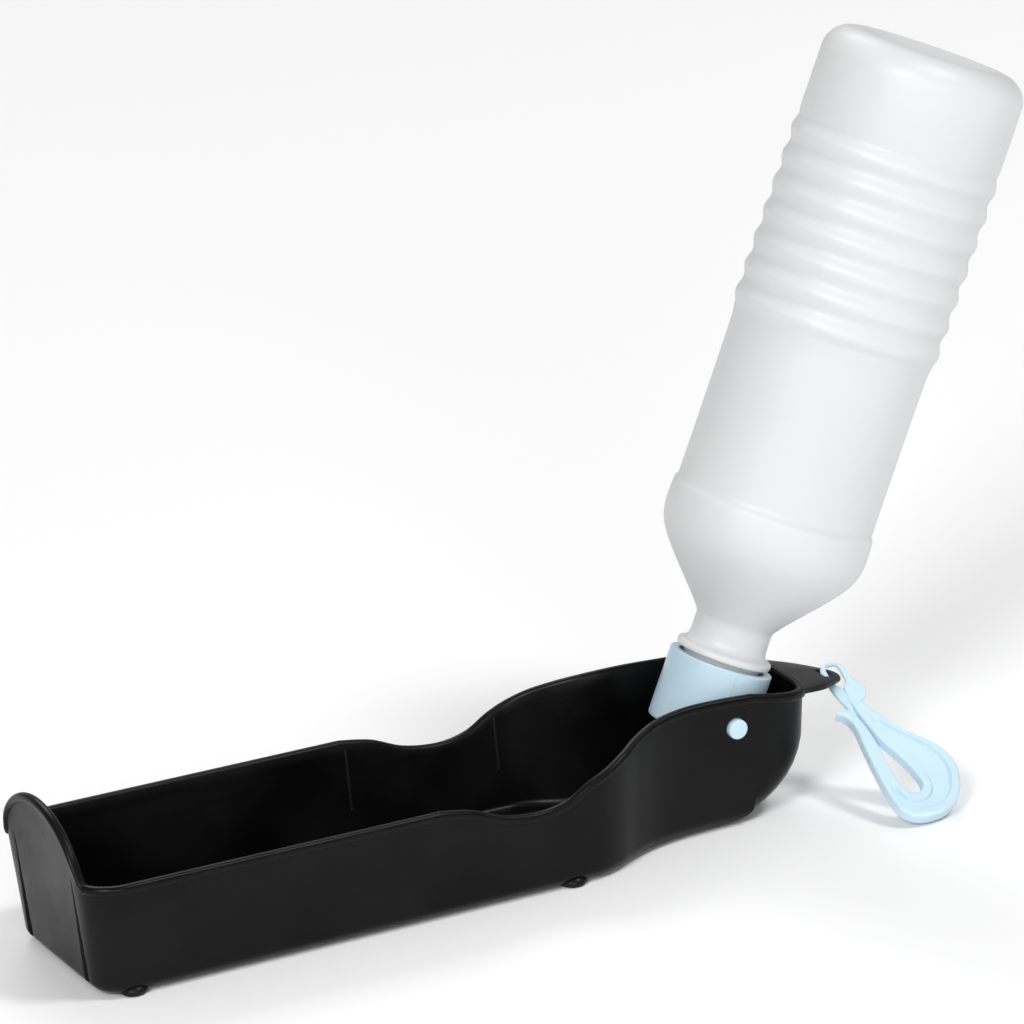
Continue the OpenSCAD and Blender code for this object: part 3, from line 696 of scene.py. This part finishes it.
# A post in the spout closes the valve's outlet when the valve is pushed in. Three thin bars
# hold it.
post_top, post_r = cap_bottom + cap_end / 2, 2.1
post = turned([(0, spout_at - 2), (post_r - 0.3, spout_at - 2), (post_r, spout_at - 1.7),
               (post_r, post_top), (0, post_top)], 32)
bars = []
bar_count = 3
for k in range(bar_count):
    turn_k = 2 * np.pi * k / bar_count
    x = np.array([0, spout_r - 0.7])
    y = np.array([-0.4, 0.4, 0.4, -0.4])
    z = np.array([spout_at + 0.6, spout_at + 0.6, post_top, post_top])
    grid = np.stack([x[:, None] * math.cos(turn_k) - y * math.sin(turn_k),
                     x[:, None] * math.sin(turn_k) + y * math.cos(turn_k), z + 0 * x[:, None]], -1)
    bars.append(sheet_of(grid, around_v=True, fans=[[0, 1, 2, 3], [7, 6, 5, 4]]))
cap_thread = thread(root_r + 0.5, neck_r + 0.5, thread_start + thread_rise / 2, thread_rise,
                    thread_turns, thread_wide)
cap = solid("cap_body", [(cap_points, cap_faces), *pins, post, *bars, cap_thread],
            place=on_axis, bend=40)
blue = finish_of("light_blue_plastic", (0.53, 0.695, 0.80), 0.3, 900, 0.12, 0.03, 0.12,
                 Subsurface_Weight=0.25, Subsurface_Scale=0.0015)
cap.data.materials.append(blue)
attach(cap, "cap")
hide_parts("screw_cap")


# ---------------------------------------------------------------- washer and valve
# A soft washer seals the bottle's mouth against the cap, and a pale push-pull valve closes
# the spout. Both are as the CAD has them, with a finish of their own.
washer = frame["nodes"]["sealing_washer"]
washer.data.materials.clear()
soft_grey = finish_of("soft_grey_washer", (0.55, 0.55, 0.53), 0.6, 1100, 0.3, 0.05, 0.05)
washer.data.materials.append(soft_grey)
valve = frame["nodes"]["spout_valve"]
valve.data.materials.clear()
pale_grey = finish_of("pale_grey_plastic", (0.72, 0.73, 0.73), 0.33, 900, 0.12, 0.03, 0.1)
valve.data.materials.append(pale_grey)


# ---------------------------------------------------------------- belt clip
# The clip is one light blue moulding: a thin slit eye round the bar of the tab, and a thicker
# hook whose thin leg springs aside to let a belt in. A rib runs round a recessed web.
clip_hang = next(j for j in frame["joints"] if j["name"] == "clip_swing")["pos_m"]
clip_lean = math.radians(57.5)
clip_thick, eye_thick, web_thick = 4.2, 1.5, 1.8
hook_shift = np.array([-1.1, 1.1])


def hung(points):
    """Points drawn flat, x across and y down the clip, in millimetres: turned about x by the
    lean to the near side, and moved to the bar that the clip hangs on, in metres."""
    p = np.asarray(points, float) / 1000
    y = -p[:, 1] * math.sin(clip_lean) + p[:, 2] * math.cos(clip_lean)
    z = -p[:, 1] * math.cos(clip_lean) - p[:, 2] * math.sin(clip_lean)
    return np.stack([p[:, 0], y, z], 1) + np.array(clip_hang)


# The hook as a strip: its outer line and its inner line, walked together from the neck round
# the loop to the free tip.
hook_outer = curve([
    (4.4, 13.4), (8, 20.8), (12.2, 27), (17.2, 32.2), (21.4, 38), (22.8, 44.6), (21.2, 51.2),
    (17.4, 57.4), (12, 60.9), (6.2, 62), (1.4, 61.4), (-2.4, 58.6), (-4.1, 54), (-4.5, 47),
    (-4.2, 38), (-3.6, 30), (-3, 24), (-3.2, 20), (-4.4, 17.2), (-6.6, 15.6)], 9) + hook_shift
hook_inner = curve([
    (0.3, 14.2), (0.9, 18.5), (1.7, 23.2), (3.1, 29.4), (5.2, 34.8), (7.2, 40.6), (8.3, 46),
    (8.2, 49.2), (6.9, 51.2), (5, 51.8), (3, 51.2), (1.7, 49.6), (1.1, 46.6), (1, 42), (1.1, 36),
    (1.3, 30), (1.1, 25.6), (0.6, 21.4), (-0.6, 16.8), (-2.2, 14.5)], 9) + hook_shift
width_line = hook_outer - hook_inner
wide = np.linalg.norm(width_line, axis=1)


def edge_profile(depth_in, thick, round_r):
    """Half thickness at a distance in from the edge: a quarter circle, then flat."""
    d = np.clip(depth_in, 0, round_r)
    return thick / 2 - round_r + np.sqrt(np.maximum(0, round_r**2 - (round_r - d)**2))


# Across the strip: a rounded edge, the rib, its slope down to the web, and the web's middle.
rib_width, round_r, slope_wide = 2.9, 1.0, 0.8
edge_in = round_r * (1 - np.cos(np.linspace(0, np.pi / 2, 8)))
slope_in = rib_width + np.array([0.25, 0.5, slope_wide])
side_in = np.r_[edge_in, np.linspace(round_r, rib_width, 4)[1:], slope_in]
side_in = side_in[None, :] * np.minimum(1, wide[:, None] / 2 / side_in[-1])
slope_foot = side_in[:, -1:]
web_in = slope_foot + (wide[:, None] / 2 - slope_foot) * np.array([0.5, 1.0])
inward = np.concatenate([side_in, web_in], 1)
full = edge_profile(inward, clip_thick, round_r)
sunk = np.clip((inward - rib_width) / slope_wide, 0, 1)
sunk = sunk**2 * (3 - 2 * sunk)
web_from, web_full = 7.6, 9.2
has_web = np.clip((wide[:, None] - web_from) / (web_full - web_from), 0, 1)
full -= (clip_thick - web_thick) / 2 * sunk * has_web
across_u = inward / wide[:, None]
share_u = np.concatenate([across_u, 1 - across_u[:, -2::-1]], 1)
lift = np.concatenate([full, full[:, -2::-1]], 1)
share_u = np.concatenate([share_u, share_u[:, ::-1]], 1)
lift = np.concatenate([lift, -lift[:, ::-1]], 1)
strip = hook_outer[:, None] - width_line[:, None] * share_u[..., None]
hook_grid = np.concatenate([strip, lift[..., None]], -1)
loops = hook_grid.shape[1]
last = (len(hook_grid) - 1) * loops
hook_ends = [list(range(loops)), list(range(last + loops - 1, last - 1, -1))]
hook = sheet_of(hook_grid, around_v=True, fans=hook_ends)

# The eye is a thinner flat strip, from one side of the neck over the bar to the other side.
eye_round = 0.8
eye_outer = curve([
    (-0.9, 18.6), (-2, 16.4), (-2.6, 14.1), (-3.6, 10), (-4.2, 6.3), (-4.35, 4.7), (-4.4, 3),
    (-4.4, 0), (-3.9, -2.7), (-1.6, -4.3), (1.6, -4.2), (3.9, -2.7), (4.5, 1), (5.2, 3.4),
    (5.8, 4.9), (6.6, 6.6), (7.4, 8.5), (6.2, 11.1), (3.9, 13), (3.3, 16.1), (4.5, 19.1)], 7)
eye_inner = curve([
    (-0.2, 18.6), (-0.1, 16.2), (0.05, 13.6), (0.05, 9.8), (-0.3, 6.1), (-1.5, 5), (-2.1, 3.4),
    (-2.2, 0), (-2.1, -1.8), (-1.4, -3.1), (1.4, -3), (2.2, -1.8), (2.3, 0.6), (2.2, 3.4),
    (1.6, 5), (0.4, 6.1), (-0.05, 8.5), (-0.05, 11.1), (-0.05, 13), (0.1, 16.1), (0.7, 19.1)], 7)


def strip_of(outer_line, inner_line, thick, round_r):
    """A flat strip as a closed sheet: each point is a share of the way between the two lines,
    at plus or minus half the thickness, which falls off as a quarter circle at the edges."""
    span = outer_line - inner_line
    wide = np.linalg.norm(span, axis=1)[:, None]
    corner_in = round_r * (1 - np.cos(np.linspace(0, np.pi / 2, 7)))
    d = corner_in[None, :] * np.minimum(1, wide / 2 / round_r)
    h = edge_profile(d, thick, round_r)
    s = np.concatenate([d / wide, 1 - (d / wide)[:, ::-1]], 1)
    h = np.concatenate([h, h[:, ::-1]], 1)
    s, h = np.concatenate([s, s[:, ::-1]], 1), np.concatenate([h, -h[:, ::-1]], 1)
    grid = np.concatenate([outer_line[:, None] - span[:, None] * s[..., None], h[..., None]], -1)
    loops, last = grid.shape[1], (len(grid) - 1) * grid.shape[1]
    strip_ends = [list(range(loops)), list(range(last + loops - 1, last - 1, -1))]
    return sheet_of(grid, around_v=True, fans=strip_ends)


eye = strip_of(eye_outer, eye_inner, eye_thick, eye_round)
clip = solid("clip_body", [hook, eye], place=hung, bend=40)
clip.data.materials.append(blue)
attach(clip, "clip")
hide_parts("belt_clip")


# ---------------------------------------------------------------- floor, light and camera
# A plain pale floor, large soft lamps over the near left, the front and the back, a smaller
# one over the right that catches the rims, and an even white sky.
def plain_material(name, colour, roughness):
    """One even colour and one even roughness."""
    m = bpy.data.materials.new(name)
    m.use_nodes = True
    shader = m.node_tree.nodes["Principled BSDF"]
    shader.inputs["Base Color"].default_value = (*colour, 1)
    shader.inputs["Roughness"].default_value = roughness
    return m


floor_size = 6.0
floor_mesh = bpy.data.meshes.new("floor")
floor_corners = [(-floor_size, -floor_size, 0), (floor_size, -floor_size, 0),
                 (floor_size, floor_size, 0), (-floor_size, floor_size, 0)]
floor_mesh.from_pydata(floor_corners, [], [(0, 1, 2, 3)])
floor = bpy.data.objects.new("floor", floor_mesh)
bpy.context.scene.collection.objects.link(floor)
floor.data.materials.append(plain_material("pale_floor", (0.96, 0.96, 0.96), 0.8))


def lamp(name, place, aim, size, power):
    """A square area lamp that faces its aim: its z axis points from the aim to the lamp, its x
    axis is level, and its y axis is square to both."""
    data = bpy.data.lights.new(name, "AREA")
    data.size, data.energy = size, power
    lamp_object = bpy.data.objects.new(name, data)
    bpy.context.scene.collection.objects.link(lamp_object)
    away = np.array(place, float) - np.array(aim, float)
    side = np.cross((0, 0, 1), away)
    side /= np.linalg.norm(side)
    away /= np.linalg.norm(away)
    turned_to = np.column_stack([side, np.cross(away, side), away, place])
    lamp_object.matrix_world = Matrix(np.vstack([turned_to, [0, 0, 0, 1]]).tolist())


lamp("key", (-2.6, -2.5, 2.5), (0, 0, 0.1), 1.3, 94)
lamp("front", (-0.9, -4.2, 1.5), (0, 0, 0.1), 1.5, 42)
lamp("top", (1.5, -1.4, 3.2), (0, 0, 0.05), 0.7, 45)
lamp("back", (0.6, 2.8, 3.0), (0, 0, 0.05), 1.6, 36)

world = bpy.data.worlds.new("studio")
bpy.context.scene.world = world
world.use_nodes = True
sky = world.node_tree.nodes["Background"]
sky.inputs["Color"].default_value = (1, 1, 1, 1)
sky.inputs["Strength"].default_value = 0.35

# The camera stands where the photograph's did, worked out from the trough's straight edges.
# Its target, distance and side step are in the trough's millimetres.
azimuth, elevation, roll = (math.radians(a) for a in (24.887, 19.443, 3.901))
distance, focal_px, frame_px, sensor_mm = 2405.8, 7667.2, 1024, 36
step_x, step_y = -30.0, -58.1
target = np.array([130.198, 0, 61.509])
right = np.array([math.cos(azimuth), -math.sin(azimuth), 0])
level = np.array([math.sin(azimuth), math.cos(azimuth), 0])
forward = level * math.cos(elevation) - np.array([0, 0, math.sin(elevation)])
upward = level * math.sin(elevation) + np.array([0, 0, math.cos(elevation)])
c, s = math.cos(roll), math.sin(roll)
to_side, to_top = -c * step_x - s * step_y, s * step_x - c * step_y
eye_point = target + right * to_side + upward * to_top - forward * distance
camera_data = bpy.data.cameras.new("camera")
camera_data.sensor_width = sensor_mm
camera_data.lens = focal_px / frame_px * sensor_mm
camera_data.clip_start, camera_data.clip_end = 0.1, 30
camera = bpy.data.objects.new("camera", camera_data)
bpy.context.scene.collection.objects.link(camera)
axes = np.column_stack([c * right - s * upward, s * right + c * upward, -forward,
                        placed([eye_point])[0]])
camera.matrix_world = Matrix(np.vstack([axes, [0, 0, 0, 1]]).tolist())
bpy.context.scene.camera = camera
bpy.context.scene.view_settings.view_transform = "Standard"
